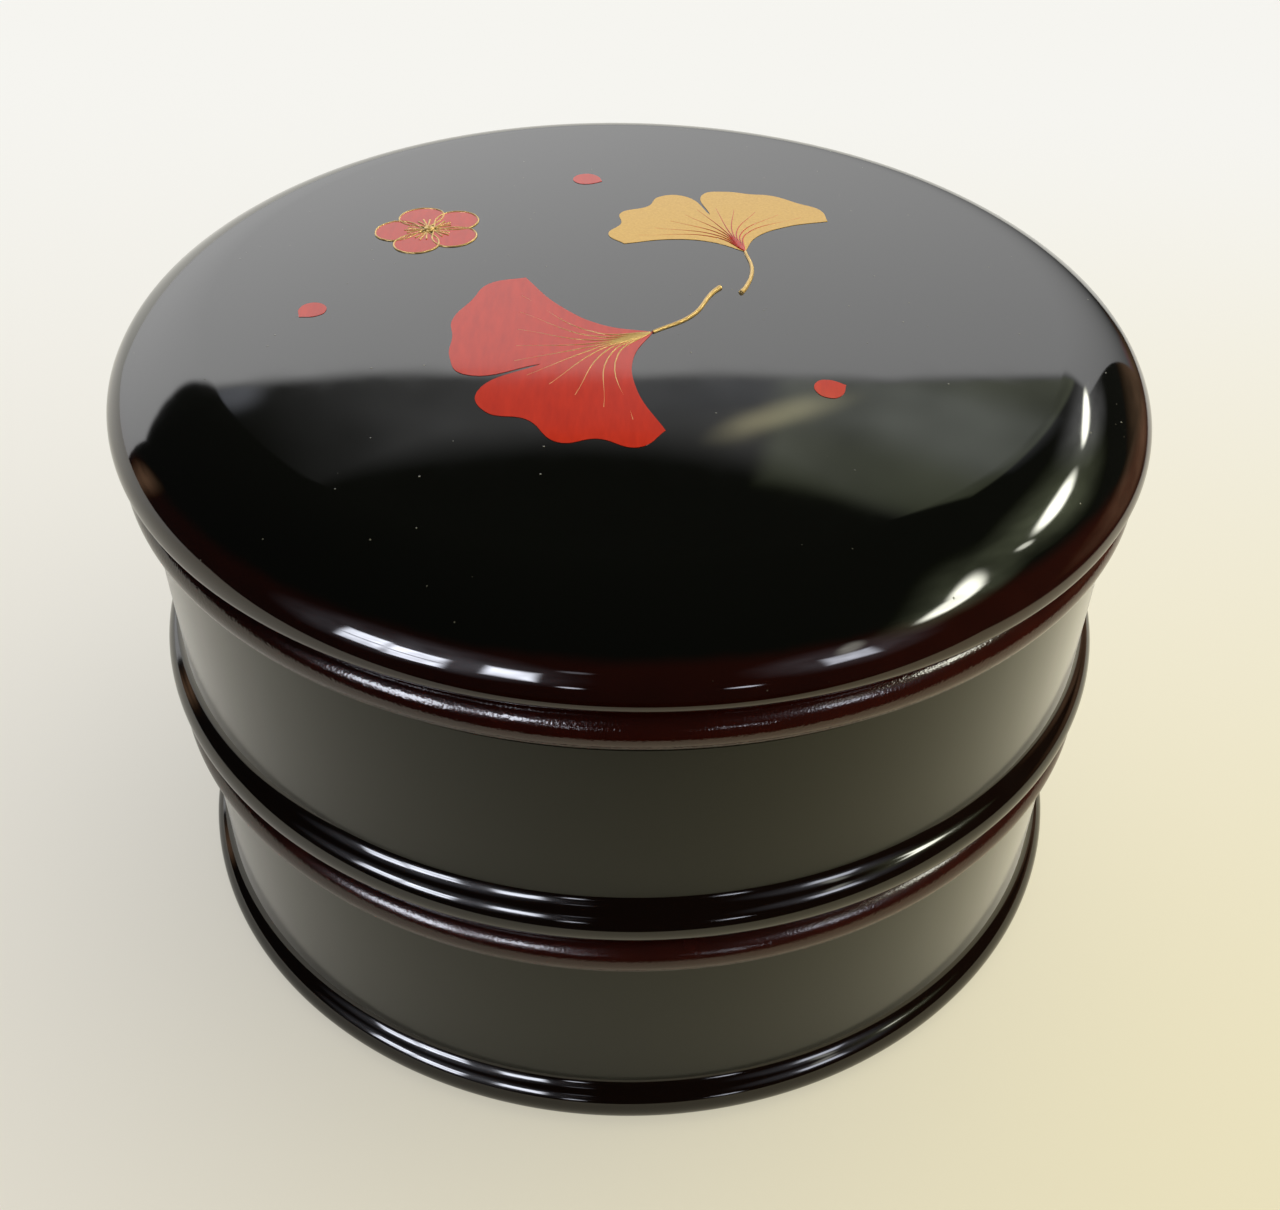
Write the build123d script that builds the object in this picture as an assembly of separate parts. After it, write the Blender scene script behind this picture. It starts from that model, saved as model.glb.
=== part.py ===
from build123d import *

import os
from math import asin, atan2, cos, degrees, radians, sin, sqrt

# Round two-tier lacquered box with a domed lid, in millimetres.
# The origin is the centre of the lower foot's resting plane, with Z up.

# Sizes shared by the whole box
wall_radius = 95.0
wall_thickness = 5.0
tier_pitch = 56.0
tier_names = ("lower", "upper")
glue_gap = 0.1
lift_clearance = 0.5

# Rim bead round the mouth of a tier
rim_bead_radius = 4.4
rim_proud = 2.8

# Foot ring: a round bead under a cove that meets the wall at a crisp edge, with that angle between them
foot_bead_radius = 4.6
foot_proud = 3.5
cove_radius = 5.0
cove_edge_angle = 21.5
land_height = 0.7
land_inset = 0.8

# Floor board, turned with a rounded corner against the wall
board_thickness = 4.5
board_ledge_share = 0.4
corner_radius = 3.0
corner_edge = 0.5

# Lip ring that keys each tier into the foot or the lid above it
lip_thickness = 2.5
lip_height = 3.0
lip_depth = 16.0
lip_taper_height = 3.0
lip_foot_share = 0.4

# Lid: rim hoop with a bullnose edge, and a domed crown board let into it
lid_proud = 3.7
edge_under_width = 5.0
edge_rise = 3.6
edge_radius = 6.5
edge_turn = 28.0
brow_radius = 12.5
brow_turn = 52.0
shoulder_radius = 29.0
dome_radius = 760.0
crown_thickness = 5.0
crown_skirt = 3.0
crown_ledge_share = 0.55

# Radii that follow from the sizes above
inner_radius = wall_radius - wall_thickness
lip_radius = inner_radius - glue_gap
bore_radius = lip_radius + lift_clearance
foot_radius = wall_radius + foot_proud
lid_radius = wall_radius + lid_proud

# The rim bead is half-round: its flat back stands on the bead's own centre line
rim_back_radius = wall_radius + rim_proud - rim_bead_radius
rim_drop = sqrt(rim_bead_radius**2 - (rim_bead_radius - rim_proud) ** 2)
rim_crease_height = tier_pitch - rim_bead_radius - rim_drop

# The foot bead and the cove are circles that touch, and the cove stops where it reaches the wall
bead_centre = Vector(foot_radius - foot_bead_radius, land_height + foot_bead_radius)
cove_reach = wall_radius + cove_radius * cos(radians(cove_edge_angle)) - bead_centre.X
cove_rise = sqrt((foot_bead_radius + cove_radius) ** 2 - cove_reach**2)
cove_centre = bead_centre + Vector(cove_reach, cove_rise)
foot_height = cove_centre.Y - cove_radius * sin(radians(cove_edge_angle))
foot_turn = degrees(atan2(cove_rise, cove_reach))
board_base = foot_height - board_thickness
board_radius = bore_radius + board_ledge_share * (wall_radius - bore_radius)


def circle_point(centre, radius, angle):
    """The point of a circle in the section plane at an angle above the outward direction."""
    return centre + Vector(radius * cos(radians(angle)), radius * sin(radians(angle)))


def arc_between(centre, radius, start, end):
    """An arc of that circle from one angle to another, in degrees."""
    return CenterArc(centre, radius, start, end - start)


def turned(outline):
    """A solid of revolution about Z from a closed outline drawn as radius and height."""
    return revolve(Plane.XZ * make_face(outline), Axis.Z)


def foot_ring():
    """Turned ring under a tier: resting land, round bead, cove, and the board's ledge."""
    bead = arc_between(bead_centre, foot_bead_radius, -90, foot_turn)
    cove = arc_between(cove_centre, cove_radius, 180 + foot_turn, 180 + cove_edge_angle)
    land_radius = bead_centre.X - land_inset
    under = Polyline((bore_radius, 0), (land_radius, 0), (land_radius, land_height), bead @ 0)
    inside = Polyline(
        (wall_radius, foot_height),
        (board_radius, foot_height),
        (board_radius, board_base),
        (bore_radius, board_base),
        (bore_radius, 0),
    )
    return turned(under + bead + cove + inside)


def floor_board():
    """Turned floor of a tier, let into the foot ring, with its corner coved up the wall."""
    edge_radius_inside = inner_radius - glue_gap
    corner_centre = Vector(edge_radius_inside - corner_edge - corner_radius, foot_height + corner_radius)
    corner = arc_between(corner_centre, corner_radius, 0, -90)
    rim = Polyline(
        (0, foot_height),
        (0, board_base),
        (board_radius - glue_gap, board_base),
        (board_radius - glue_gap, foot_height),
        (edge_radius_inside, foot_height),
        (edge_radius_inside, corner_centre.Y),
        corner @ 0,
    )
    return turned(rim + corner + Line(corner @ 1, (0, foot_height)))


def wall_hoop():
    """Straight wall of a tier, cut back at the top to a tongue that carries the rim bead."""
    tongue_radius = rim_back_radius - glue_gap
    outline = Polyline(
        (inner_radius, foot_height),
        (wall_radius, foot_height),
        (wall_radius, rim_crease_height),
        (tongue_radius, rim_crease_height),
        (tongue_radius, tier_pitch),
        (inner_radius, tier_pitch),
        close=True,
    )
    return turned(outline)


def rim_ring():
    """Half-round bead let into the shoulder at the top of the wall."""
    centre = Vector(rim_back_radius, tier_pitch - rim_bead_radius)
    start = -degrees(asin(rim_drop / rim_bead_radius))
    bead = arc_between(centre, rim_bead_radius, start, 90)
    back = Polyline(bead @ 1, (rim_back_radius, rim_crease_height), bead @ 0)
    return turned(bead + back)


def lip_ring():
    """Thin hoop glued inside the mouth, standing above the rim with a rounded top."""
    top_radius = lip_thickness / 2
    top_centre = Vector(lip_radius - top_radius, tier_pitch + lip_height - top_radius)
    base = tier_pitch - lip_depth
    top = arc_between(top_centre, top_radius, 0, 180)
    sides = Polyline(
        top @ 1,
        (lip_radius - lip_thickness, base + lip_taper_height),
        (lip_radius - lip_foot_share * lip_thickness, base),
        (lip_radius, base),
        top @ 0,
    )
    return turned(top + sides)


# The lid's outside is five arcs in a row, each touching the next: under edge, edge, brow, shoulder, dome
edge_centre = Vector(lid_radius - edge_radius, edge_rise)
brow_centre = circle_point(edge_centre, edge_radius - brow_radius, edge_turn)
crown_joint = circle_point(brow_centre, brow_radius, brow_turn)
shoulder_centre = circle_point(brow_centre, brow_radius - shoulder_radius, brow_turn)
dome_drop = sqrt((dome_radius - shoulder_radius) ** 2 - shoulder_centre.X**2)
dome_centre = Vector(0, shoulder_centre.Y - dome_drop)
dome_turn = degrees(atan2(dome_drop, shoulder_centre.X))
crown_rebate_radius = bore_radius + crown_ledge_share * (crown_joint.X - bore_radius)
hollow_radius = shoulder_radius - crown_thickness
hollow_turn = 90 - degrees(asin((bore_radius - shoulder_centre.X) / hollow_radius))
crown_ledge_height = circle_point(shoulder_centre, hollow_radius, hollow_turn).Y - crown_skirt


def lid_rim_hoop():
    """Bullnose hoop round the lid: seat, rounded under edge, edge, brow, and the crown's rebate."""
    under_centre = (lid_radius - edge_under_width, edge_rise)
    under = EllipticalCenterArc(under_centre, edge_under_width, edge_rise, -90, arc_size=90)
    edge = arc_between(edge_centre, edge_radius, 0, edge_turn)
    brow = arc_between(brow_centre, brow_radius, edge_turn, brow_turn)
    inside = Polyline(
        crown_joint,
        (crown_rebate_radius, crown_joint.Y),
        (crown_rebate_radius, crown_ledge_height),
        (bore_radius, crown_ledge_height),
        (bore_radius, 0),
        (lid_radius - edge_under_width, 0),
    )
    return turned(under + edge + brow + inside)


def lid_crown():
    """Domed board of even thickness whose skirt stands on the ledge inside the rim hoop."""
    dome = arc_between(dome_centre, dome_radius, 90, dome_turn)
    shoulder = arc_between(shoulder_centre, shoulder_radius, dome_turn, brow_turn)
    hollow_shoulder = arc_between(shoulder_centre, hollow_radius, hollow_turn, dome_turn)
    hollow_dome = arc_between(dome_centre, dome_radius - crown_thickness, dome_turn, 90)
    skirt_radius = crown_rebate_radius - glue_gap
    edge = Polyline(
        shoulder @ 1,
        (skirt_radius, crown_joint.Y),
        (skirt_radius, crown_ledge_height),
        (bore_radius, crown_ledge_height),
        hollow_shoulder @ 0,
    )
    axis_line = Line(hollow_dome @ 1, dome @ 0)
    return turned(dome + shoulder + edge + hollow_shoulder + hollow_dome + axis_line)


# Each piece's maker, by the name that its node ends in
tier_pieces = {
    "foot_ring": foot_ring,
    "floor_board": floor_board,
    "wall_hoop": wall_hoop,
    "rim_ring": rim_ring,
    "lip_ring": lip_ring,
}
lid_pieces = {"lid_rim_hoop": lid_rim_hoop, "lid_crown": lid_crown}

os.makedirs("parts", exist_ok=True)
for level, tier in enumerate(tier_names):
    for name, make in tier_pieces.items():
        export_step(Pos(0, 0, level * tier_pitch) * make(), f"parts/{tier}_{name}.step")
for name, make in lid_pieces.items():
    export_step(Pos(0, 0, len(tier_names) * tier_pitch) * make(), f"parts/{name}.step")
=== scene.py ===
import math

import bmesh
import bpy
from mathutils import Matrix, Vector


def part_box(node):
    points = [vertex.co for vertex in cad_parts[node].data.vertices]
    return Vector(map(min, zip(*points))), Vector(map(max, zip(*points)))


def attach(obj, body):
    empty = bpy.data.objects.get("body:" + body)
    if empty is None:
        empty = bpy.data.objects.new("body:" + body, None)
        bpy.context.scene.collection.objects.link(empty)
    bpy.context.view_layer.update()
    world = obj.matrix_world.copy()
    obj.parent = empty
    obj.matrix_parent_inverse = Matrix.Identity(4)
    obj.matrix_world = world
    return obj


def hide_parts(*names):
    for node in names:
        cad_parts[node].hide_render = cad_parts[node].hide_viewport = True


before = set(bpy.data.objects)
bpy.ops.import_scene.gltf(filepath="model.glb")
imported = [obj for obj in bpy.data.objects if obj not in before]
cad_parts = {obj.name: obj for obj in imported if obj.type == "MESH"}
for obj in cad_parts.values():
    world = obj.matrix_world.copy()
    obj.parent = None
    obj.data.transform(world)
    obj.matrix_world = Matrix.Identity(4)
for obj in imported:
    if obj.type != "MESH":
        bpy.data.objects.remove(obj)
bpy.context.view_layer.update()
mm = 0.001

# The view
# The photographer stood close and looked down at the box from the front, over its near edge.
# The camera holds that place, tilt and lens.
camera = bpy.data.objects.new("camera", bpy.data.cameras.new("camera"))
bpy.context.collection.objects.link(camera)
camera.location = (0, -0.25403, 0.2656)
camera.rotation_euler = [math.radians(a) for a in (48.414, -2.814, -2.252)]
camera.data.sensor_width = 36
camera.data.lens = 41.477
camera.data.shift_x = -0.07021
camera.data.shift_y = 0.03291
bpy.context.scene.camera = camera
bpy.context.scene.view_settings.view_transform = "Standard"


# The paper under the box and the room round it
# A sheet of white paper with painted light: warm near the viewer and on the right, cool behind.
# It ends just outside the view in front, so what shines sees the dark of the room past that edge.
def paint(code):
    """The linear colour of an sRGB hex code."""
    parts = [int(code[i : i + 2], 16) / 255 for i in (1, 3, 5)]
    return [c / 12.92 if c <= 0.04045 else ((c + 0.055) / 1.055) ** 2.4 for c in parts] + [1]


def add_node(tree, kind, settings=None, links=None):
    """Adds a node. Settings are its options or inputs' values, links feed its inputs."""
    made = tree.nodes.new(kind)
    for name, value in (settings or {}).items():
        if isinstance(name, str) and name in made.bl_rna.properties:
            setattr(made, name, value)
        else:
            made.inputs[name].default_value = value
    for name, output in (links or {}).items():
        tree.links.new(output, made.inputs[name])
    return made


def new_material(name):
    """A new material of that name with no nodes yet, and its node tree."""
    material = bpy.data.materials.new(name)
    material.use_nodes = True
    material.node_tree.nodes.clear()
    return material, material.node_tree


paper, tree = new_material("white_paper")
place = add_node(tree, "ShaderNodeTexCoord")
along = add_node(tree, "ShaderNodeSeparateXYZ", links={0: place.outputs["Object"]})
depth = add_node(
    tree,
    "ShaderNodeMapRange",
    {"interpolation_type": "SMOOTHSTEP", "From Min": -0.2, "From Max": 0.45},
    {"Value": along.outputs["Y"]},
)
across = add_node(
    tree,
    "ShaderNodeMapRange",
    {"interpolation_type": "SMOOTHSTEP", "From Min": -0.16, "From Max": 0.14},
    {"Value": along.outputs["X"]},
)
# Painted light on the white paper: warm and a little dim near the viewer, warmer on the right.
near_tone_and_light = add_node(
    tree,
    "ShaderNodeMix",
    {"data_type": "RGBA", 6: paint("#F2EEE3"), 7: paint("#F3EBC9")},
    {0: across.outputs["Result"]},
)
# Painted light: further back the paper turns a brighter, cooler white.
paper_tone_and_light = add_node(
    tree,
    "ShaderNodeMix",
    {"data_type": "RGBA", 7: paint("#FDFEFF")},
    {0: depth.outputs["Result"], 6: near_tone_and_light.outputs[2]},
)
rays = add_node(tree, "ShaderNodeLightPath")
matt = add_node(tree, "ShaderNodeBsdfDiffuse", links={"Color": paper_tone_and_light.outputs[2]})
glow = add_node(tree, "ShaderNodeEmission", {"Strength": 1}, {"Color": paper_tone_and_light.outputs[2]})
# The camera sees about half of the paper as its own colour, unlit, so that it stays pale, and the
# rest as the light on it. In the lacquer the box's shadow on it shows more.
share_seen, share_mirrored = 0.55, 0.3
direct = add_node(
    tree,
    "ShaderNodeMath",
    {"operation": "MULTIPLY", 1: share_seen},
    {0: rays.outputs["Is Camera Ray"]},
)
mirrored = add_node(
    tree,
    "ShaderNodeMath",
    {"operation": "MULTIPLY", 1: share_mirrored},
    {0: rays.outputs["Is Glossy Ray"]},
)
own_colour = add_node(
    tree,
    "ShaderNodeMath",
    {"operation": "MAXIMUM"},
    {0: direct.outputs[0], 1: mirrored.outputs[0]},
)
sheet = add_node(
    tree,
    "ShaderNodeMixShader",
    links={0: own_colour.outputs[0], 1: matt.outputs[0], 2: glow.outputs[0]},
)
# The paper fades out between these places in front and on the right. Past them only the camera
# sees it, and light and reflections pass through.
front_edge, right_edge = (-0.196, -0.214), (0.36, 0.46)
past_front = add_node(
    tree,
    "ShaderNodeMapRange",
    {
        "interpolation_type": "SMOOTHSTEP",
        "From Min": front_edge[0],
        "From Max": front_edge[1],
    },
    {"Value": along.outputs["Y"]},
)
past_right = add_node(
    tree,
    "ShaderNodeMapRange",
    {
        "interpolation_type": "SMOOTHSTEP",
        "From Min": right_edge[0],
        "From Max": right_edge[1],
    },
    {"Value": along.outputs["X"]},
)
past_edge = add_node(
    tree,
    "ShaderNodeMath",
    {"operation": "MAXIMUM"},
    {0: past_front.outputs[0], 1: past_right.outputs[0]},
)
open_edge = add_node(
    tree,
    "ShaderNodeMath",
    {"operation": "SUBTRACT", "use_clamp": True},
    {0: past_edge.outputs[0], 1: rays.outputs["Is Camera Ray"]},
)
gone = add_node(tree, "ShaderNodeBsdfTransparent")
surface = add_node(
    tree,
    "ShaderNodeMixShader",
    links={0: open_edge.outputs[0], 1: sheet.outputs[0], 2: gone.outputs[0]},
)
add_node(tree, "ShaderNodeOutputMaterial", links={"Surface": surface.outputs[0]})

bpy.ops.object.select_all(action="DESELECT")
paper_width = 8
bpy.ops.mesh.primitive_plane_add(size=paper_width)
table = bpy.context.object
table.name = "paper"
table.data.materials.append(paper)


# The room
# Matt surfaces see a plain pale room, darker on the viewer's side and on the left. What shines sees
# the paper sweep up behind the box, a dark ceiling, window panes in front and lamps on the right.
world = bpy.data.worlds.new("studio")
bpy.context.scene.world = world
world.use_nodes = True
tree = world.node_tree
tree.nodes.clear()
place = add_node(tree, "ShaderNodeTexCoord")
along = add_node(tree, "ShaderNodeSeparateXYZ", links={0: place.outputs["Generated"]})
bearing = add_node(
    tree,
    "ShaderNodeMath",
    {"operation": "ARCTAN2"},
    {0: along.outputs["X"], 1: along.outputs["Y"]},
)
height = add_node(tree, "ShaderNodeMath", {"operation": "ARCSINE"}, {0: along.outputs["Z"]})
sky = add_node(
    tree, "ShaderNodeCombineXYZ", links={0: bearing.outputs[0], 1: height.outputs[0]}
)


def light_patch(tree, sky, at, half_size, tilt, soft, square):
    """A patch of the sky in degrees, 1 inside, 0 outside. Soft is its edge's share of its size."""
    local = add_node(
        tree,
        "ShaderNodeMapping",
        {
            "vector_type": "TEXTURE",
            "Location": (math.radians(at[0]), math.radians(at[1]), 0),
            "Rotation": (0, 0, math.radians(tilt)),
            "Scale": (math.radians(half_size[0]), math.radians(half_size[1]), 1),
        },
        {"Vector": sky},
    )
    if square:
        sides = add_node(
            tree, "ShaderNodeVectorMath", {"operation": "ABSOLUTE"}, {0: local.outputs[0]}
        )
        side = add_node(tree, "ShaderNodeSeparateXYZ", links={0: sides.outputs[0]})
        reach = add_node(
            tree,
            "ShaderNodeMath",
            {"operation": "MAXIMUM"},
            {0: side.outputs[0], 1: side.outputs[1]},
        ).outputs[0]
    else:
        reach = add_node(
            tree, "ShaderNodeVectorMath", {"operation": "LENGTH"}, {0: local.outputs[0]}
        ).outputs["Value"]
    return add_node(
        tree,
        "ShaderNodeMapRange",
        {"interpolation_type": "SMOOTHSTEP", "From Min": 1 + soft, "From Max": 1 - soft},
        {"Value": reach},
    ).outputs["Result"]


cool, warm, olive = (0.92, 0.96, 1.08), (1, 1, 0.86), (0.9, 1, 0.62)
golden, brown, grey = (1, 0.9, 0.5), (1, 0.58, 0.34), (1, 1, 1)
# Each patch stands where the lacquer shows a highlight or a dim zone. What it may be is a guess.
patches = (
    # bearing and height, half sizes, tilt, soft edge, square, strength, colour
    # the panes of two windows behind the viewer on the left, and the glow round them
    ((-126, 11.6), (4.5, 3), 0, 0.25, True, 18, cool),
    ((-126, 19), (4.5, 3.4), 0, 0.25, True, 20, cool),
    ((-137, 10.4), (5.6, 3.4), 0, 0.25, True, 18, cool),
    ((-137, 18), (5.6, 3.2), 0, 0.25, True, 20, cool),
    ((-155.5, 18.5), (4.8, 5.6), 0, 0.3, True, 18, cool),
    ((-138, 19), (20, 13), 0, 0.9, False, 0.9, cool),
    # three small lamps behind the viewer
    ((-167.4, 6.3), (2.2, 1.8), 0, 0.4, False, 9, cool),
    ((-167.2, 30.5), (3, 1.2), 0, 0.5, False, 1.5, cool),
    ((160.3, 3.5), (3, 1.8), 0, 0.4, False, 10, cool),
    # a window behind the viewer on the right, with a lamp over it
    ((137, 22.5), (5.2, 4.5), 0, 0.3, True, 8, cool),
    ((134, 33), (6, 2.5), -60, 0.6, False, 3, warm),
    ((137.5, 25), (14, 10), 0, 0.9, False, 0.6, cool),
    # a row of lamps on the right, each with its glow
    ((101, 39.6), (14, 3.4), -18, 0.35, False, 22, warm),
    ((99, 39.5), (20, 8), -18, 0.9, False, 0.9, olive),
    ((77.2, 37.1), (2, 1.1), 45, 0.4, False, 10, warm),
    ((63.6, 33.8), (8.6, 2.2), 16, 0.35, False, 18, warm),
    ((64.5, 34.5), (14.5, 7.8), 16, 0.9, False, 0.9, olive),
    ((42.2, 27.2), (5.8, 1.2), 14, 0.35, False, 18, warm),
    ((43.2, 27.2), (7.8, 4.9), 14, 0.9, False, 0.9, grey),
    # dim ceiling over the paper sweep, and a gilt bar under it
    ((20, 35.3), (11, 8.6), 0, 0.1, True, 0.42, olive),
    ((23.5, 33), (8.5, 7.6), 0, 0.8, False, 0.25, grey),
    ((9.5, 38.5), (3.5, 0.8), -30, 0.9, False, 2.4, golden),
    ((-2, 37.6), (17, 4), 4, 0.5, True, 0.46, grey),
    ((14, 36), (15, 3), 0, 0.6, True, 0.35, cool),
    ((-24.7, 32.6), (1.6, 1.2), 0, 0.6, False, 0.6, cool),
    # brown wood, low on both sides
    ((58, -2), (26, 10), 0, 0.5, False, 0.3, brown),
    ((-66.7, 5.6), (3.4, 9), 0, 0.8, False, 0.5, brown),
)
total = None
for at, half_size, tilt, soft, square, strength, colour in patches:
    glow = light_patch(tree, sky.outputs[0], at, half_size, tilt, soft, square)
    settings = {"operation": "MULTIPLY_ADD", 1: [strength * c for c in colour]}
    links = {0: glow}
    if total:
        links[2] = total
    total = add_node(tree, "ShaderNodeVectorMath", settings, links).outputs[0]
# The top edge of the paper sweep behind the box, as bearing and height
sweep_top = (
    (-64, -30), (-60, 6), (-57, 16), (-50, 21), (-43, 25), (-31, 30), (-20, 33.4), (-10, 35.8),
    (0, 36.6), (10, 35.4), (16, 34), (22, 31), (26, 28.5), (38, 25), (41, -30),
)
share = add_node(
    tree,
    "ShaderNodeMapRange",
    {"From Min": math.radians(-90), "From Max": math.radians(90)},
    {"Value": bearing.outputs[0]},
)
top_edge = add_node(tree, "ShaderNodeValToRGB", links={0: share.outputs["Result"]})
stops = top_edge.color_ramp.elements
while len(stops) < len(sweep_top):
    stops.new(1)
for stop, (bearing_at, height_at) in zip(stops, sweep_top):
    stop.position = (bearing_at + 90) / 180
    stop.color = [(height_at + 90) / 180] * 3 + [1]
lift = add_node(
    tree,
    "ShaderNodeMapRange",
    {"From Min": math.radians(-90), "From Max": math.radians(90)},
    {"Value": height.outputs[0]},
)
below = add_node(
    tree,
    "ShaderNodeMath",
    {"operation": "SUBTRACT"},
    {0: top_edge.outputs["Color"], 1: lift.outputs["Result"]},
)
sweep = add_node(
    tree,
    "ShaderNodeMapRange",
    {"interpolation_type": "SMOOTHSTEP", "From Min": -0.004, "From Max": 0.004},
    {"Value": below.outputs[0]},
)
# The sweep is brighter towards the windows on the left, and higher up. Past it the room is dark.
sweep_level, more_left, more_up, dark_room = 0.72, 0.7, 2.6, 0.018
brighter_left = add_node(
    tree,
    "ShaderNodeMath",
    {"operation": "MULTIPLY_ADD", 1: -more_left, 2: sweep_level},
    {0: along.outputs["X"]},
)
brighter_up = add_node(
    tree,
    "ShaderNodeMath",
    {"operation": "MULTIPLY_ADD", 1: more_up},
    {0: along.outputs["Z"], 2: brighter_left.outputs[0]},
)
sweep_light = add_node(
    tree,
    "ShaderNodeMath",
    {"operation": "MULTIPLY_ADD", 2: dark_room},
    {0: sweep.outputs["Result"], 1: brighter_up.outputs[0]},
)
# The lamps and windows are a little uneven in themselves, so that no highlight is flat.
cloudy = add_node(
    tree,
    "ShaderNodeTexNoise",
    {"Scale": 7, "Detail": 2},
    {"Vector": place.outputs["Generated"]},
)
uneven = add_node(
    tree,
    "ShaderNodeMapRange",
    {"From Min": 0.3, "From Max": 0.7, "To Min": 0.65, "To Max": 1.35},
    {"Value": cloudy.outputs[0]},
)
lamps = add_node(
    tree,
    "ShaderNodeVectorMath",
    {"operation": "MULTIPLY"},
    {0: total, 1: uneven.outputs["Result"]},
)
shine = add_node(
    tree,
    "ShaderNodeVectorMath",
    {"operation": "MAXIMUM"},
    {0: lamps.outputs[0], 1: sweep_light.outputs[0]},
)
# The light on matt surfaces is weak on the viewer's side, and stronger and warmer from the right.
more_right = 1.35
viewer_side = add_node(
    tree,
    "ShaderNodeMapRange",
    {
        "interpolation_type": "SMOOTHSTEP",
        "From Min": -0.8,
        "From Max": 0.3,
        "To Min": 0.03,
        "To Max": 1.2,
    },
    {"Value": along.outputs["Y"]},
)
right_side = add_node(
    tree,
    "ShaderNodeMath",
    {"operation": "MULTIPLY_ADD", 1: more_right},
    {0: along.outputs["X"], 2: viewer_side.outputs["Result"]},
)
level = add_node(
    tree, "ShaderNodeMath", {"operation": "MAXIMUM", 1: 0}, {0: right_side.outputs[0]}
)
warmth = add_node(
    tree,
    "ShaderNodeMix",
    {"data_type": "RGBA", 6: (1, 0.99, 0.97, 1), 7: (1, 0.91, 0.62, 1)},
    {0: along.outputs["X"]},
)
even = add_node(
    tree,
    "ShaderNodeVectorMath",
    {"operation": "SCALE"},
    {0: warmth.outputs[2], "Scale": level.outputs[0]},
)
rays = add_node(tree, "ShaderNodeLightPath")
lit = add_node(
    tree,
    "ShaderNodeMix",
    {"data_type": "RGBA"},
    {0: rays.outputs["Is Glossy Ray"], 6: even.outputs[0], 7: shine.outputs[0]},
)
seen = add_node(
    tree,
    "ShaderNodeMix",
    {"data_type": "RGBA", 7: paint("#F7F6F3")},
    {0: rays.outputs["Is Camera Ray"], 6: lit.outputs[2]},
)
light = add_node(tree, "ShaderNodeBackground", {"Strength": 1}, {"Color": seen.outputs[2]})
add_node(tree, "ShaderNodeOutputWorld", links={"Surface": light.outputs[0]})


# Foot rings
# Each tier stands on a turned wooden ring: a round bead under a cove that meets the wall at a crisp
# edge. It is glued under the floor board and lacquered black, rubbed down and polished to a mirror.
def pen_point():
    """Where the outline's pen is: the one selected point."""
    mesh = bmesh.from_edit_mesh(bpy.context.object.data)
    return next(v.co.copy() for v in mesh.verts if v.select)


def start_outline(name, radius, height):
    """A new piece whose one point starts a lathe's outline, drawn as radius and height."""
    bpy.ops.object.select_all(action="DESELECT")
    bpy.ops.mesh.primitive_plane_add(size=mm)
    piece = bpy.context.object
    piece.name = piece.data.name = name
    bpy.ops.object.mode_set(mode="EDIT")
    bpy.ops.mesh.merge(type="CENTER")
    bpy.ops.mesh.select_all(action="SELECT")
    bpy.ops.transform.translate(value=(radius, 0, height))
    return piece


def line_to(radius, height):
    """A straight cut from the pen to a point."""
    pen = pen_point()
    bpy.ops.mesh.extrude_region_move(
        TRANSFORM_OT_translate={"value": (radius - pen.x, 0, height - pen.z)}
    )


def arc_about(radius, height, degrees, steps):
    """A round cut from the pen about a centre, upwards on the outside for degrees above 0."""
    bpy.ops.mesh.spin(
        steps=steps, angle=math.radians(degrees), center=(radius, 0, height), axis=(0, 1, 0)
    )


lathe_steps = 256
sharpest_smooth = 30


def turn_outline(piece, material):
    """Closes the outline, turns it a full circle on the lathe and gives the piece its finish."""
    bpy.ops.mesh.select_all(action="SELECT")
    bpy.ops.mesh.remove_doubles(threshold=mm / 1000)
    bpy.ops.mesh.select_all(action="SELECT")
    bpy.ops.mesh.spin(steps=lathe_steps, angle=math.tau, center=(0, 0, 0), axis=(0, 0, 1))
    bpy.ops.mesh.select_all(action="SELECT")
    bpy.ops.mesh.remove_doubles(threshold=mm / 1000)
    bpy.ops.mesh.delete_loose(use_verts=True, use_edges=True, use_faces=False)
    bpy.ops.mesh.select_all(action="SELECT")
    bpy.ops.mesh.normals_make_consistent(inside=False)
    bpy.ops.object.mode_set(mode="OBJECT")
    bpy.ops.object.shade_smooth_by_angle(angle=math.radians(sharpest_smooth))
    piece.data.materials.append(material)


def copy_up(piece, name, rise):
    """A copy of a piece with its own mesh, higher by rise."""
    bpy.ops.object.select_all(action="DESELECT")
    piece.select_set(True)
    bpy.context.view_layer.objects.active = piece
    bpy.ops.object.duplicate(linked=False)
    copy = bpy.context.object
    copy.name = copy.data.name = name
    bpy.ops.transform.translate(value=(0, 0, rise))
    bpy.ops.object.transform_apply(location=True, rotation=False, scale=False)
    return copy


def bumped(tree, height_output, depth, extra=None):
    """A bump of that depth in metres."""
    settings = {"Strength": 1, "Distance": depth}
    links = {"Height": height_output}
    if extra:
        links["Normal"] = extra
    return add_node(tree, "ShaderNodeBump", settings, links).outputs[0]


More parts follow.
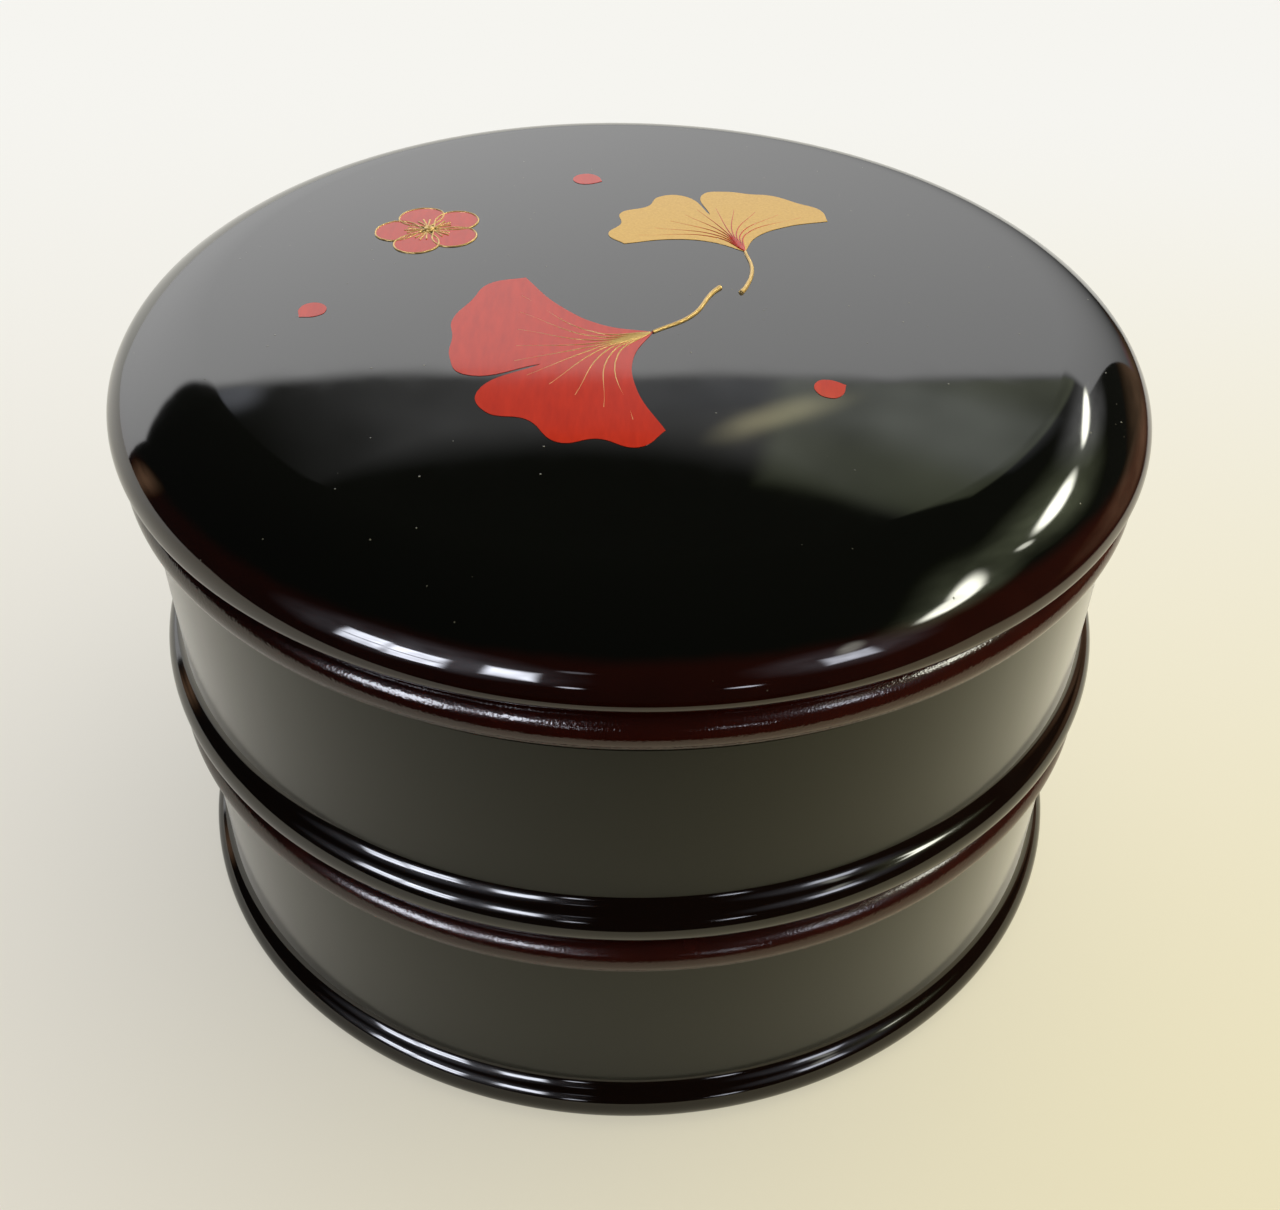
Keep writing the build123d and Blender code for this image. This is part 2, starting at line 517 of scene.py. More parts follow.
# Black lacquer, polished by hand: a mirror with slow waves in it and faint smears.
polished_black, tree = new_material("polished_black_lacquer")
place = add_node(tree, "ShaderNodeTexCoord")
waves = add_node(
    tree,
    "ShaderNodeTexNoise",
    {"Scale": 1 / (22 * mm), "Detail": 1},
    {"Vector": place.outputs["Object"]},
)
smears = add_node(
    tree,
    "ShaderNodeTexNoise",
    {"Scale": 1 / (9 * mm), "Detail": 4},
    {"Vector": place.outputs["Object"]},
)
rub = add_node(
    tree,
    "ShaderNodeMapRange",
    {"From Min": 0.35, "From Max": 0.7, "To Min": 0.05, "To Max": 0.11},
    {"Value": smears.outputs[0]},
)
coat = add_node(
    tree,
    "ShaderNodeBsdfPrincipled",
    {"Base Color": paint("#100602"), "IOR": 1.54},
    {
        "Roughness": rub.outputs["Result"],
        "Normal": bumped(tree, waves.outputs[0], 0.02 * mm),
    },
)
add_node(tree, "ShaderNodeOutputMaterial", links={"Surface": coat.outputs[0]})

foot_lowest, foot_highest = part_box("lower_foot_ring")
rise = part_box("upper_foot_ring")[0].z - foot_lowest.z
wall_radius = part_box("lower_wall_hoop")[1].x
foot_height = foot_highest.z
bead_radius = 4.6 * mm
cove_radius = 5 * mm
cove_edge_angle = 21.5
land_height = 0.7 * mm
land_inset = 0.8 * mm
board_radius = 92.24 * mm
board_thickness = 4.5 * mm
board_base = foot_height - board_thickness
bore_radius = 90.4 * mm
bead_steps, cove_steps = 72, 30
bead_centre = (foot_highest.x - bead_radius, land_height + bead_radius)
cove_reach = wall_radius + cove_radius * math.cos(math.radians(cove_edge_angle)) - bead_centre[0]
foot_turn = math.degrees(math.acos(cove_reach / (bead_radius + cove_radius)))
cove_centre = (
    bead_centre[0] + cove_reach,
    foot_height + cove_radius * math.sin(math.radians(cove_edge_angle)),
)
lower_foot = start_outline("lower_foot", bore_radius, 0)
line_to(bead_centre[0] - land_inset, 0)
line_to(bead_centre[0] - land_inset, land_height)
line_to(bead_centre[0], land_height)
arc_about(*bead_centre, 90 + foot_turn, bead_steps)
arc_about(*cove_centre, cove_edge_angle - foot_turn, cove_steps)
line_to(board_radius, foot_height)
line_to(board_radius, board_base)
line_to(bore_radius, board_base)
line_to(bore_radius, 0)
turn_outline(lower_foot, polished_black)
upper_foot = copy_up(lower_foot, "upper_foot", rise)
for piece, tier in ((lower_foot, "lower"), (upper_foot, "upper")):
    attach(piece, f"{tier}_tier")
    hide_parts(f"{tier}_foot_ring")


# Wall hoops
# A straight hoop of bent and glued board, cut back at the top to a tongue that the rim bead is let
# into. It is lacquered black outside and rubbed to a satin. The inside isn't seen in the photograph:
# vermilion is the usual colour.
def finish_faces(piece, material, chosen):
    """Gives the chosen faces of a piece a finish of their own."""
    piece.data.materials.append(material)
    for face in piece.data.polygons:
        if chosen(face):
            face.material_index = len(piece.data.materials) - 1


# Black lacquer rubbed with powder to a satin: soft reflections that gather towards its far ends.
# Its gloss is two weak lobes and a sheen, matched to the object: the IOR is below lacquer's 1.5.
satin_black, tree = new_material("satin_black_lacquer")
place = add_node(tree, "ShaderNodeTexCoord")
# Rubbing powder leaves a grain of about 0.1 mm; it is drawn at 0.35 mm so that it shows.
grain = add_node(
    tree,
    "ShaderNodeTexNoise",
    {"Scale": 1 / (0.35 * mm), "Detail": 2},
    {"Vector": place.outputs["Object"]},
)
cloud = add_node(
    tree,
    "ShaderNodeTexNoise",
    {"Scale": 1 / (16 * mm), "Detail": 3},
    {"Vector": place.outputs["Object"]},
)
tint = add_node(
    tree,
    "ShaderNodeMix",
    {"data_type": "RGBA", 6: paint("#070705"), 7: paint("#0F0E0A")},
    {0: cloud.outputs[0]},
)
# The satin looks duller towards the wall's foot, perhaps because the rubbing pad reaches it less.
along = add_node(tree, "ShaderNodeSeparateXYZ", links={0: place.outputs["Object"]})
duller_below, finest_above = 11 * mm, 47 * mm
up_wall = add_node(
    tree,
    "ShaderNodeMath",
    {"operation": "MODULO", 1: rise},
    {0: along.outputs["Z"]},
)
rub = add_node(
    tree,
    "ShaderNodeMapRange",
    {"From Min": duller_below, "From Max": finest_above, "To Min": 0.46, "To Max": 0.32},
    {"Value": up_wall.outputs[0]},
)
coat = add_node(
    tree,
    "ShaderNodeBsdfPrincipled",
    {
        "IOR": 1.25,
        "Specular Tint": paint("#F4FFD8"),
        "Coat Weight": 1,
        "Coat IOR": 1.26,
        "Coat Roughness": 0.12,
        "Sheen Weight": 1,
        "Sheen Roughness": 0.27,
    },
    {
        "Base Color": tint.outputs[2],
        "Roughness": rub.outputs["Result"],
        "Normal": bumped(tree, grain.outputs[0], 0.004 * mm),
    },
)
add_node(tree, "ShaderNodeOutputMaterial", links={"Surface": coat.outputs[0]})

# Vermilion lacquer, brushed round the inside and left as it flowed out: glossy, a little cloudy.
vermilion_inside, tree = new_material("vermilion_inside_lacquer")
place = add_node(tree, "ShaderNodeTexCoord")
brushing = add_node(tree, "ShaderNodeMapping", {"Scale": (1, 1, 3)}, {0: place.outputs["Object"]})
cloud = add_node(
    tree,
    "ShaderNodeTexNoise",
    {"Scale": 1 / (20 * mm), "Detail": 4},
    {"Vector": brushing.outputs[0]},
)
tint = add_node(
    tree,
    "ShaderNodeMix",
    {"data_type": "RGBA", 6: paint("#A32312"), 7: paint("#B92F1B")},
    {0: cloud.outputs[0]},
)
rub = add_node(
    tree,
    "ShaderNodeMapRange",
    {"From Min": 0.3, "From Max": 0.7, "To Min": 0.1, "To Max": 0.18},
    {"Value": cloud.outputs[0]},
)
coat = add_node(
    tree,
    "ShaderNodeBsdfPrincipled",
    {"IOR": 1.54},
    {
        "Base Color": tint.outputs[2],
        "Roughness": rub.outputs["Result"],
        "Normal": bumped(tree, cloud.outputs[0], 0.02 * mm),
    },
)
add_node(tree, "ShaderNodeOutputMaterial", links={"Surface": coat.outputs[0]})

# See-through brown-red lacquer over black: dark, and redder where it lies thick.
brown_red, tree = new_material("brown_red_lacquer")
place = add_node(tree, "ShaderNodeTexCoord")
# The highlights on the beads look grainy, as on a last coat left unrubbed: a fine orange peel,
# drawn 0.45 mm across so that it shows.
peel = add_node(
    tree,
    "ShaderNodeTexNoise",
    {"Scale": 1 / (0.45 * mm), "Detail": 1},
    {"Vector": place.outputs["Object"]},
)
cloud = add_node(
    tree,
    "ShaderNodeTexNoise",
    {"Scale": 1 / (6 * mm), "Detail": 4},
    {"Vector": place.outputs["Object"]},
)
tint = add_node(
    tree,
    "ShaderNodeMix",
    {"data_type": "RGBA", 6: paint("#2A0A05"), 7: paint("#3C1107")},
    {0: cloud.outputs[0]},
)
# The lower bead looks duller than the upper one, perhaps from wear where the tiers stack.
along = add_node(tree, "ShaderNodeSeparateXYZ", links={0: place.outputs["Object"]})
between_beads = (70 * mm, 80 * mm)
dull = add_node(
    tree,
    "ShaderNodeMapRange",
    {"From Min": between_beads[0], "From Max": between_beads[1], "To Min": 0.17, "To Max": 0.12},
    {"Value": along.outputs["Z"]},
)
coat = add_node(
    tree,
    "ShaderNodeBsdfPrincipled",
    {"IOR": 1.52},
    {
        "Base Color": tint.outputs[2],
        "Roughness": dull.outputs["Result"],
        "Normal": bumped(tree, peel.outputs[0], 0.035 * mm),
    },
)
add_node(tree, "ShaderNodeOutputMaterial", links={"Surface": coat.outputs[0]})

rim_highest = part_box("lower_rim_ring")[1]
rim_bead_radius = 4.4 * mm
rim_centre = (rim_highest.x - rim_bead_radius, rim_highest.z - rim_bead_radius)
crease_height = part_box("lower_rim_ring")[0].z
wall_thickness = 5 * mm
glue_gap = 0.1 * mm
crease_gap = 0.8 * mm
inner_radius = wall_radius - wall_thickness
tongue_radius = rim_centre[0] - glue_gap
lower_wall = start_outline("lower_wall", inner_radius, foot_height)
line_to(wall_radius, foot_height)
# The crease: a notch under the bead's edge.
line_to(wall_radius, crease_height - crease_gap)
line_to(wall_radius - crease_gap, crease_height - crease_gap)
line_to(wall_radius - crease_gap, crease_height)
line_to(tongue_radius, crease_height)
line_to(tongue_radius, rim_highest.z)
line_to(inner_radius, rim_highest.z)
line_to(inner_radius, foot_height)
turn_outline(lower_wall, satin_black)
# The wall is vermilion inside, and its top belongs to the brown-red rim.
finish_faces(lower_wall, vermilion_inside, lambda f: f.center.xy.length < inner_radius + mm)
finish_faces(lower_wall, brown_red, lambda f: f.normal.z > 0.9 and f.center.z > crease_height + mm)
upper_wall = copy_up(lower_wall, "upper_wall", rise)
for piece, tier in ((lower_wall, "lower"), (upper_wall, "upper")):
    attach(piece, f"{tier}_tier")
    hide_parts(f"{tier}_wall_hoop")


# Rim beads
# A half-round wooden hoop is let into the shoulder of the wall's top, and coated in see-through
# brown-red lacquer over black. A fine dark crease stays where its underside meets the wall.
rim_steps = 60
start_turn = -math.degrees(math.acos((wall_radius - rim_centre[0]) / rim_bead_radius))
lower_rim = start_outline("lower_rim_bead", wall_radius, crease_height)
arc_about(*rim_centre, 90 - start_turn, rim_steps)
line_to(rim_centre[0], crease_height)
line_to(wall_radius, crease_height)
turn_outline(lower_rim, brown_red)
upper_rim = copy_up(lower_rim, "upper_rim_bead", rise)
for piece, tier in ((lower_rim, "lower"), (upper_rim, "upper")):
    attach(piece, f"{tier}_tier")
    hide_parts(f"{tier}_rim_ring")


# Floor boards
# A turned round board closes each tier. It is let into the foot ring, and its corner is coved up
# against the wall so that nothing catches in it. It is vermilion above and black below.
corner_radius = 3 * mm
corner_edge = 0.5 * mm
corner_steps = 12
board_edge = inner_radius - glue_gap
corner_centre = (board_edge - corner_edge - corner_radius, foot_height + corner_radius)
lower_floor = start_outline("lower_floor", 0, board_base)
line_to(board_radius - glue_gap, board_base)
line_to(board_radius - glue_gap, foot_height)
line_to(board_edge, foot_height)
line_to(board_edge, corner_centre[1])
line_to(corner_centre[0] + corner_radius, corner_centre[1])
arc_about(*corner_centre, -90, corner_steps)
# The board's top is cut in four rings, so that no face on it is long and thin.
for share in (0.75, 0.5, 0.25, 0):
    line_to(corner_centre[0] * share, foot_height)
turn_outline(lower_floor, vermilion_inside)
finish_faces(lower_floor, polished_black, lambda f: f.normal.z < -0.5)
upper_floor = copy_up(lower_floor, "upper_floor", rise)
for piece, tier in ((lower_floor, "lower"), (upper_floor, "upper")):
    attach(piece, f"{tier}_tier")
    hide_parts(f"{tier}_floor_board")


# Lip rings
# A thin hoop glued inside each mouth stands above the rim with a rounded top, and keys into the
# foot or the lid that is stacked on it. It is vermilion like the inside.
lip_radius = board_edge
lip_width = 2.5 * mm
lip_taper = 3 * mm
lip_foot_width = 0.4 * lip_width
lip_steps = 24
lip_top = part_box("lower_lip_ring")[1].z
lip_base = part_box("lower_lip_ring")[0].z
lip_centre = (lip_radius - lip_width / 2, lip_top - lip_width / 2)
lower_lip = start_outline("lower_lip", lip_radius, lip_base)
line_to(lip_radius, lip_centre[1])
arc_about(*lip_centre, 180, lip_steps)
line_to(lip_radius - lip_width, lip_base + lip_taper)
line_to(lip_radius - lip_foot_width, lip_base)
line_to(lip_radius, lip_base)
turn_outline(lower_lip, vermilion_inside)
upper_lip = copy_up(lower_lip, "upper_lip", rise)
for piece, tier in ((lower_lip, "lower"), (upper_lip, "upper")):
    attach(piece, f"{tier}_tier")
    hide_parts(f"{tier}_lip_ring")


# Lid
# A domed crown board is let into a hoop with a bullnose edge, and one skin of lacquer covers both:
# mirror black on top, which fades to dark brown-red just over the edge's widest line.
lid_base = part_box("lid_rim_hoop")[0].z
lid_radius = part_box("lid_rim_hoop")[1].x
lid_top_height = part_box("lid_crown")[1].z
# Black lacquer raised to a mirror. At the edge it is rubbed through to the brown-red under it.
lid_lacquer, tree = new_material("mirror_black_lacquer_fading_to_brown_red")
place = add_node(tree, "ShaderNodeTexCoord")
along = add_node(tree, "ShaderNodeSeparateXYZ", links={0: place.outputs["Object"]})
cloud = add_node(
    tree,
    "ShaderNodeTexNoise",
    {"Scale": 1 / (7 * mm), "Detail": 4},
    {"Vector": place.outputs["Object"]},
)
ragged_reach = 1.2 * mm
ragged = add_node(
    tree,
    "ShaderNodeMath",
    {"operation": "MULTIPLY_ADD", 1: ragged_reach},
    {0: cloud.outputs[0], 2: along.outputs["Z"]},
)
fade_above_seat, fade_reach = 9.7 * mm, 0.9 * mm
fade_height = lid_base + fade_above_seat + ragged_reach / 2
fade = add_node(
    tree,
    "ShaderNodeMapRange",
    {
        "interpolation_type": "SMOOTHSTEP",
        "From Min": fade_height - fade_reach,
        "From Max": fade_height + fade_reach,
    },
    {"Value": ragged.outputs[0]},
)
edge_tint = add_node(
    tree,
    "ShaderNodeMix",
    {"data_type": "RGBA", 6: paint("#1C0804"), 7: paint("#290C06")},
    {0: cloud.outputs[0]},
)
tint = add_node(
    tree,
    "ShaderNodeMix",
    {"data_type": "RGBA", 7: paint("#080906")},
    {0: fade.outputs["Result"], 6: edge_tint.outputs[2]},
)
# Dust that settled in the wet coat: specks of about 0.3 mm, one in every two square centimetres.
dust = add_node(
    tree,
    "ShaderNodeTexVoronoi",
    {"Scale": 1 / (4.5 * mm)},
    {"Vector": place.outputs["Object"]},
)
speck = add_node(
    tree,
    "ShaderNodeMapRange",
    {"From Min": 0.045, "From Max": 0.02},
    {"Value": dust.outputs["Distance"]},
)
dusty = add_node(
    tree,
    "ShaderNodeMix",
    {"data_type": "RGBA", 7: paint("#77776A")},
    {0: speck.outputs["Result"], 6: tint.outputs[2]},
)
rub = add_node(
    tree,
    "ShaderNodeMapRange",
    {"From Min": 0.3, "From Max": 0.7, "To Min": 0.035, "To Max": 0.06},
    {"Value": cloud.outputs[0]},
)
waves = add_node(
    tree,
    "ShaderNodeTexNoise",
    {"Scale": 1 / (26 * mm), "Detail": 1},
    {"Vector": place.outputs["Object"]},
)
level = bumped(tree, waves.outputs[0], 0.03 * mm)
coat = add_node(
    tree,
    "ShaderNodeBsdfPrincipled",
    {"IOR": 1.54},
    {
        "Base Color": dusty.outputs[2],
        "Roughness": rub.outputs["Result"],
        "Normal": bumped(tree, speck.outputs["Result"], 0.02 * mm, level),
    },
)
add_node(tree, "ShaderNodeOutputMaterial", links={"Surface": coat.outputs[0]})

under_width = 5 * mm
edge_rise = 3.6 * mm
edge_radius = 6.5 * mm
edge_turn = 28
brow_radius = 12.5 * mm
brow_turn = 52
shoulder_radius = 29 * mm
dome_radius = 760 * mm
crown_thickness = 5 * mm
crown_skirt = 3 * mm
crown_ledge_share = 0.55
under_steps, edge_steps, brow_steps, shoulder_steps, dome_steps = 30, 48, 48, 64, 32
hollow_shoulder_steps, hollow_dome_steps = 24, 16


def on_circle(centre, radius, degrees):
    """The point of a circle in the section at an angle above the outward direction."""
    return (
        centre[0] + radius * math.cos(math.radians(degrees)),
        centre[1] + radius * math.sin(math.radians(degrees)),
    )


edge_centre = (lid_radius - edge_radius, lid_base + edge_rise)
brow_centre = on_circle(edge_centre, edge_radius - brow_radius, edge_turn)
crown_joint = on_circle(brow_centre, brow_radius, brow_turn)
shoulder_centre = on_circle(brow_centre, brow_radius - shoulder_radius, brow_turn)
dome_centre = (0, lid_top_height - dome_radius)
dome_turn = math.degrees(math.atan2(shoulder_centre[1] - dome_centre[1], shoulder_centre[0]))
hollow_radius = shoulder_radius - crown_thickness
hollow_turn = 90 - math.degrees(math.asin((bore_radius - shoulder_centre[0]) / hollow_radius))
rebate_radius = bore_radius + crown_ledge_share * (crown_joint[0] - bore_radius)
ledge_height = on_circle(shoulder_centre, hollow_radius, hollow_turn)[1] - crown_skirt

# The under edge is a quarter circle that is then pressed flatter, and the pen goes on from its top.
lid_edge = start_outline("lid_edge", lid_radius - under_width, lid_base + edge_rise - under_width)
arc_about(lid_radius - under_width, lid_base + edge_rise, 90, under_steps)
bpy.ops.mesh.select_all(action="SELECT")
bpy.ops.transform.resize(
    value=(1, 1, edge_rise / under_width), center_override=(0, 0, lid_base + edge_rise)
)
bpy.ops.mesh.select_all(action="DESELECT")
bm = bmesh.from_edit_mesh(lid_edge.data)
max(bm.verts, key=lambda v: v.co.z).select = True
bm.select_flush_mode()
bmesh.update_edit_mesh(lid_edge.data)
arc_about(*edge_centre, edge_turn, edge_steps)
arc_about(*brow_centre, brow_turn - edge_turn, brow_steps)
line_to(rebate_radius, crown_joint[1])
line_to(rebate_radius, ledge_height)
line_to(bore_radius, ledge_height)
line_to(bore_radius, lid_base)
line_to(lid_radius - under_width, lid_base)
turn_outline(lid_edge, lid_lacquer)
finish_faces(lid_edge, vermilion_inside, lambda f: f.center.xy.length < bore_radius + mm / 2)
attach(lid_edge, "lid")
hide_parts("lid_rim_hoop")

lid_crown = start_outline("lid_top", *crown_joint)
arc_about(*shoulder_centre, dome_turn - brow_turn, shoulder_steps)
arc_about(*dome_centre, 90 - dome_turn, dome_steps)
line_to(0, lid_top_height - crown_thickness)
arc_about(*dome_centre, dome_turn - 90, hollow_dome_steps)
arc_about(*shoulder_centre, hollow_turn - dome_turn, hollow_shoulder_steps)
line_to(bore_radius, ledge_height)
line_to(rebate_radius - glue_gap, ledge_height)
line_to(rebate_radius - glue_gap, crown_joint[1])
line_to(*crown_joint)
turn_outline(lid_crown, lid_lacquer)
finish_faces(
    lid_crown,
    vermilion_inside,
    lambda f: f.normal.z < -0.2 and f.center.xy.length < bore_radius,
)
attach(lid_crown, "lid")
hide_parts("lid_crown")


# Painted leaves and blossom
# The lid carries a small picture in raised lacquer: two ginkgo leaves, a plum blossom and loose
# petals, laid on with a brush in vermilion and in gold powder, with veins and outlines in gold.
def on_lid(x, y):
    """A point of the lid's top over a place on it."""
    return (x, y, dome_centre[1] + math.sqrt(dome_radius**2 - x**2 - y**2))


def placed(points, where):
    """Points drawn in millimetres about a motif's foot, turned and moved to their place."""
    x, y, degrees, size = where
    turn = math.radians(degrees)
    return [
        (
            (x + size * (px * math.cos(turn) - py * math.sin(turn))) * mm,
            (y + size * (px * math.sin(turn) + py * math.cos(turn))) * mm,
        )
        for px, py in points
    ]


def brush_curve(name, points, corners, closed):
    """A curve through points, smooth but for the corners, given by their place in the list."""
    drawn = bpy.data.curves.new(name, "CURVE")
    spline = drawn.splines.new("BEZIER")
    spline.bezier_points.add(len(points) - 1)
    for index, (bezier, point) in enumerate(zip(spline.bezier_points, points)):
        bezier.co = (*point, 0) if len(point) == 2 else point
        kind = "VECTOR" if index in corners else "AUTO"
        bezier.handle_left_type = bezier.handle_right_type = kind
    spline.use_cyclic_u = closed
    stroke = bpy.data.objects.new(name, drawn)
    bpy.context.collection.objects.link(stroke)
    bpy.ops.object.select_all(action="DESELECT")
    stroke.select_set(True)
    bpy.context.view_layer.objects.active = stroke
    return stroke


def apply_modifier(piece, kind, **settings):
    """Adds a modifier with its settings and applies it."""
    modifier = piece.modifiers.new(kind, kind)
    for name, value in settings.items():
        setattr(modifier, name, value)
    bpy.ops.object.modifier_apply(modifier=modifier.name)


coat_height = 0.08 * mm
curve_steps, stroke_steps = 10, 8


def painted_area(name, points, corners, where, material):
    """A flat shape filled with lacquer, laid on the lid's curve and raised by one coat."""
    shape = brush_curve(name, placed(points, where), corners, True)
    shape.data.dimensions = "2D"
    shape.data.fill_mode = "BOTH"
    shape.data.resolution_u = curve_steps
    bpy.ops.object.convert(target="MESH")
    shape = bpy.context.object
    # The filled shape is cut into a grid, so that it can follow the lid's curve.
    grid = 3 * mm
    lowest = [min(v.co[axis] for v in shape.data.vertices) for axis in (0, 1)]
    highest = [max(v.co[axis] for v in shape.data.vertices) for axis in (0, 1)]
    bpy.ops.object.mode_set(mode="EDIT")
    bpy.ops.mesh.select_all(action="SELECT")
    bpy.ops.mesh.remove_doubles(threshold=mm / 1000)
    for axis in (0, 1):
        cut = lowest[axis] + grid
        while cut < highest[axis]:
            bpy.ops.mesh.select_all(action="SELECT")
            bpy.ops.mesh.bisect(
                plane_co=[cut if i == axis else 0 for i in range(3)],
                plane_no=[1 if i == axis else 0 for i in range(3)],
            )
            cut += grid
    bpy.ops.mesh.select_all(action="SELECT")
    bpy.ops.transform.translate(value=(0, 0, lid_top_height))
    bpy.ops.object.mode_set(mode="OBJECT")
    apply_modifier(
        shape,
        "SHRINKWRAP",
        target=lid_crown,
        wrap_method="PROJECT",
        use_project_z=True,
        use_negative_direction=True,
        use_positive_direction=True,
    )
    apply_modifier(shape, "SOLIDIFY", thickness=2 * coat_height, offset=0)
    bpy.ops.object.shade_smooth_by_angle(angle=math.radians(sharpest_smooth))
    shape.data.materials.append(material)
    return shape


def painted_line(name, points, where, width, tips, material, closed=False, corners=()):
    """A raised stroke through points. Tips are its widths at its start and end, as shares."""
    raised = [(x, y, on_lid(x, y)[2] + coat_height / 2) for x, y in placed(points, where)]
    stroke = brush_curve(name, raised, corners, closed)
    stroke.data.dimensions = "3D"
    stroke.data.bevel_depth = width * mm / 2
    stroke.data.bevel_resolution = 2
    stroke.data.resolution_u = stroke_steps
    stroke.data.use_fill_caps = True
    count = len(points) - 1
    for index, bezier in enumerate(stroke.data.splines[0].bezier_points):
        bezier.radius = tips[0] + (tips[1] - tips[0]) * index / count
    bpy.ops.object.convert(target="MESH")
    stroke = bpy.context.object
    bpy.ops.object.shade_smooth()
    stroke.data.materials.append(material)
    return stroke


def joined(name, pieces):
    """One piece made of several strokes or areas."""
    bpy.ops.object.select_all(action="DESELECT")
    for piece in pieces:
        piece.select_set(True)
    bpy.context.view_layer.objects.active = pieces[0]
    if len(pieces) > 1:
        bpy.ops.object.join()
    pieces[0].name = pieces[0].data.name = name
    return pieces[0]


# Vermilion lacquer paint, laid on with a brush: opaque, with the streaks of the hairs.
vermilion_paint, tree = new_material("vermilion_lacquer_paint")
place = add_node(tree, "ShaderNodeTexCoord")
brushing = add_node(
    tree,
    "ShaderNodeMapping",
    {"Rotation": (0, 0, math.radians(35)), "Scale": (1, 0.2, 1)},
    {0: place.outputs["Object"]},
)
# Brush hairs leave streaks of about 0.4 mm, drawn at 1.2 mm so that they show.
streaks = add_node(
    tree,
    "ShaderNodeTexNoise",
    {"Scale": 1 / (1.2 * mm), "Detail": 3},
    {"Vector": brushing.outputs[0]},
)
tint = add_node(
    tree,
    "ShaderNodeMix",
    {"data_type": "RGBA", 6: paint("#B4230A"), 7: paint("#D63412")},
    {0: streaks.outputs[0]},
)
coat = add_node(
    tree,
    "ShaderNodeBsdfPrincipled",
    {"IOR": 1.35, "Roughness": 0.08},
    {"Base Color": tint.outputs[2], "Normal": bumped(tree, streaks.outputs[0], 0.012 * mm)},
)
add_node(tree, "ShaderNodeOutputMaterial", links={"Surface": coat.outputs[0]})

# Gold powder in ochre lacquer: more a colour than a metal, with a fine grain.
ochre_gold, tree = new_material("ochre_gold_powder_paint")
place = add_node(tree, "ShaderNodeTexCoord")
powder = add_node(
    tree,
    "ShaderNodeTexNoise",
    {"Scale": 1 / (0.5 * mm), "Detail": 2},
    {"Vector": place.outputs["Object"]},
)
tint = add_node(
    tree,
    "ShaderNodeMix",
    {"data_type": "RGBA", 6: paint("#BE9230"), 7: paint("#DDB24A")},
    {0: powder.outputs[0]},
)
coat = add_node(
    tree,
    "ShaderNodeBsdfPrincipled",
    {"Metallic": 0.2, "IOR": 1.4, "Roughness": 0.24},
    {"Base Color": tint.outputs[2], "Normal": bumped(tree, powder.outputs[0], 0.01 * mm)},
)
add_node(tree, "ShaderNodeOutputMaterial", links={"Surface": coat.outputs[0]})

# Gold powder sprinkled on a wet line: brighter and more metallic.
gold_line, tree = new_material("gold_powder_line")
place = add_node(tree, "ShaderNodeTexCoord")
powder = add_node(
    tree,
    "ShaderNodeTexNoise",
    {"Scale": 1 / (0.3 * mm), "Detail": 2},
    {"Vector": place.outputs["Object"]},
)
tint = add_node(
    tree,
    "ShaderNodeMix",
    {"data_type": "RGBA", 6: paint("#CFA860"), 7: paint("#F0D088")},
    {0: powder.outputs[0]},
)
coat = add_node(
    tree,
    "ShaderNodeBsdfPrincipled",
    {"Metallic": 0.4, "Roughness": 0.35},
    {"Base Color": tint.outputs[2], "Normal": bumped(tree, powder.outputs[0], 0.01 * mm)},
)
add_node(tree, "ShaderNodeOutputMaterial", links={"Surface": coat.outputs[0]})

# The leaf outline starts at the stalk, goes up the left side, over the wavy rim, and back.
ginkgo = (
    (0, 0), (-6, 7), (-15, 11), (-27, 12), (-29, 18), (-24, 23), (-22, 29), (-14, 31), (-9, 36),
    (-3, 35), (-0.5, 22), (3, 35), (9, 35), (15, 32), (20, 30), (25, 24), (29, 19), (28, 12),
    (16, 11), (6, 7),
)
ginkgo_corners = (0, 3, 10, 17)
leaf_veins = [
    [(0, 0.5), (3.6 * end, 9 + 3 * (1 - abs(end))), (21 * end, 27 - 11 * abs(end))]
    for end in (-1.05, -0.8, -0.55, -0.32, -0.12, 0.12, 0.32, 0.55, 0.8, 1.05)
]
vermilion_stalk = ((0, 0), (2, -9), (8, -17), (9, -19))
gold_stalk = ((0, 0), (-2, -9), (-7, -17), (-9, -19))
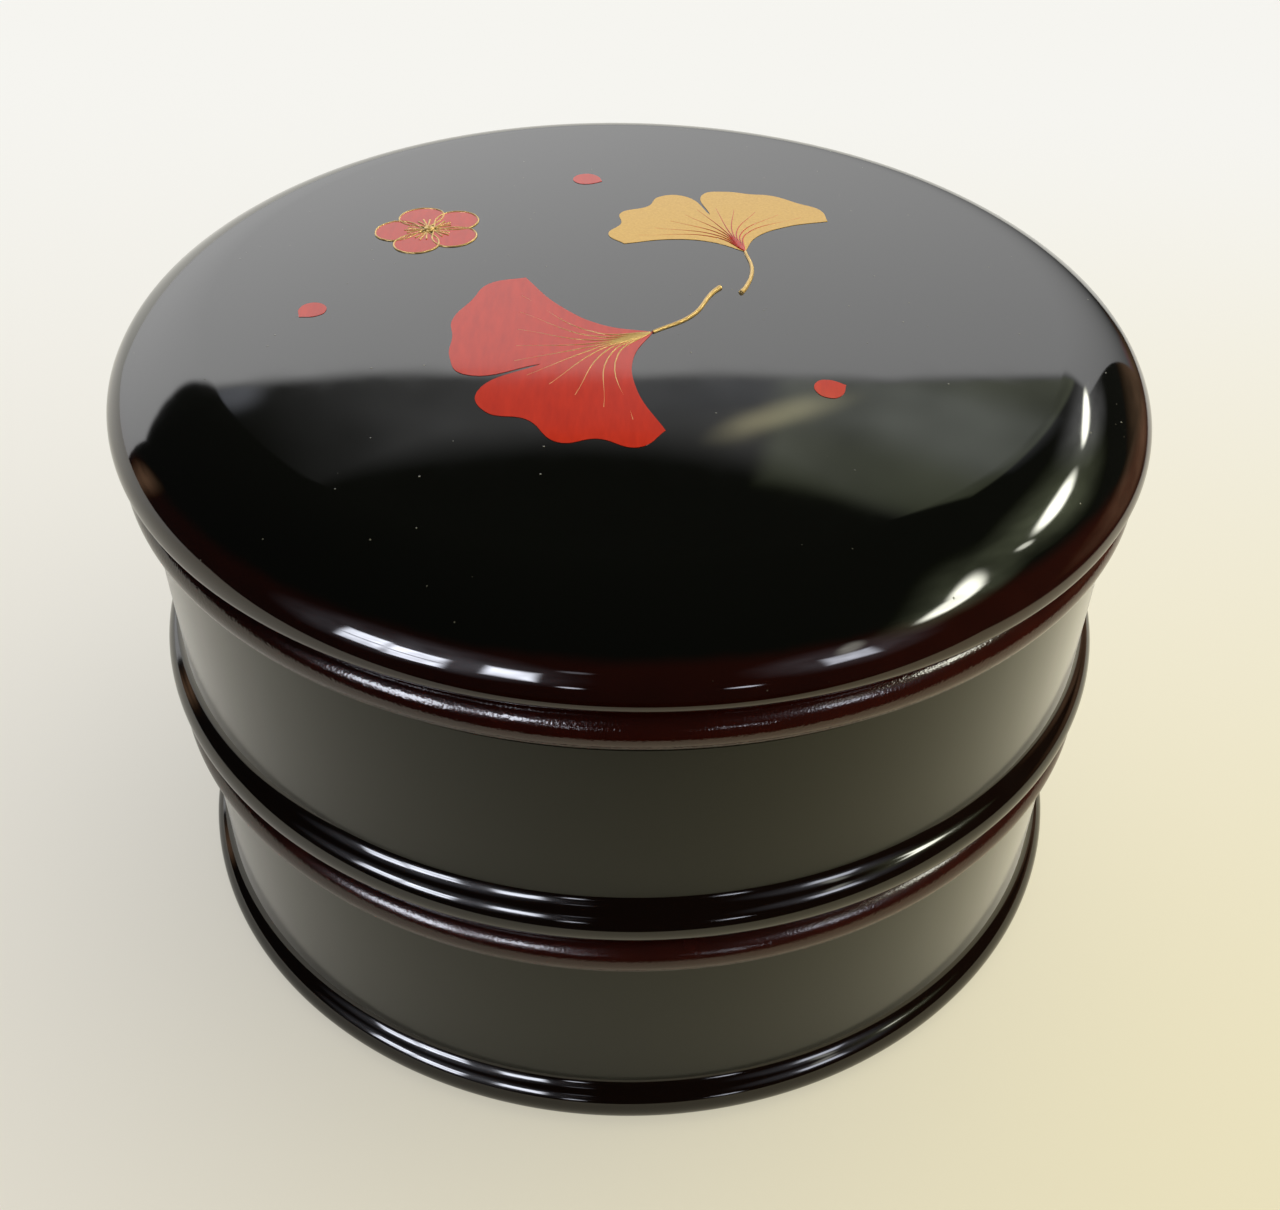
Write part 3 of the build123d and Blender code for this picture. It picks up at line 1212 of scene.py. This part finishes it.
leaves = (
    # name, paint, vein paint, place across and back in mm, turn, size, stalk
    ("vermilion", vermilion_paint, gold_line, (2, -20, 118, 1.0), vermilion_stalk),
    ("gold", ochre_gold, vermilion_paint, (20, 12, 20, 0.8), gold_stalk),
)
# Widths of the gold strokes in millimetres
vein_width, stalk_width, outline_width, stamen_width, centre_width = 0.45, 0.8, 0.35, 0.3, 1.1
for kind, fill, vein_fill, where, stalk in leaves:
    leaf = painted_area(f"ginkgo_leaf_{kind}", ginkgo, ginkgo_corners, where, fill)
    strokes = [
        painted_line("vein", vein, where, vein_width, (0.9, 0.25), vein_fill) for vein in leaf_veins
    ]
    veins = joined(f"ginkgo_veins_{kind}", strokes)
    stem = painted_line(f"ginkgo_stalk_{kind}", stalk, where, stalk_width, (0.8, 1.3), gold_line)
    for piece in (leaf, veins, stem):
        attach(piece, "lid")

petal = ((0, 1), (-3.6, 4.2), (-3.9, 7.6), (0, 10), (3.9, 7.6), (3.6, 4.2))
petals, outlines = [], []
blossom_at = (-42, 20)
petal_count, first_turn, petal_size = 5, 20, 1.05
for number in range(petal_count):
    where = (*blossom_at, first_turn + 360 / petal_count * number, petal_size)
    petals.append(painted_area("petal", petal, (0,), where, vermilion_paint))
    outlines.append(
        painted_line(
            "outline", petal, where, outline_width, (1, 1), gold_line, closed=True, corners=(0,)
        )
    )
    for lean in (-1.1, 0, 1.1):
        stamen = ((0, 1.2), (lean, 4.6 - abs(lean) / 2))
        outlines.append(
            painted_line("stamen", stamen, where, stamen_width, (0.8, 1.4), gold_line)
        )
centre = ((-0.5, 0), (0, 0.5), (0.5, 0), (0, -0.5))
outlines.append(
    painted_line(
        "centre", centre, (*blossom_at, 0, 1), centre_width, (1, 1), gold_line, closed=True
    )
)
for piece in (joined("plum_blossom", petals), joined("plum_blossom_gold", outlines)):
    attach(piece, "lid")

loose_at = ((-8, 44, 70, 0.7), (-62, -14, -40, 0.62), (36, -34, 115, 0.66))
loose = [painted_area("loose_petal", petal, (0,), where, vermilion_paint) for where in loose_at]
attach(joined("loose_petals", loose), "lid")
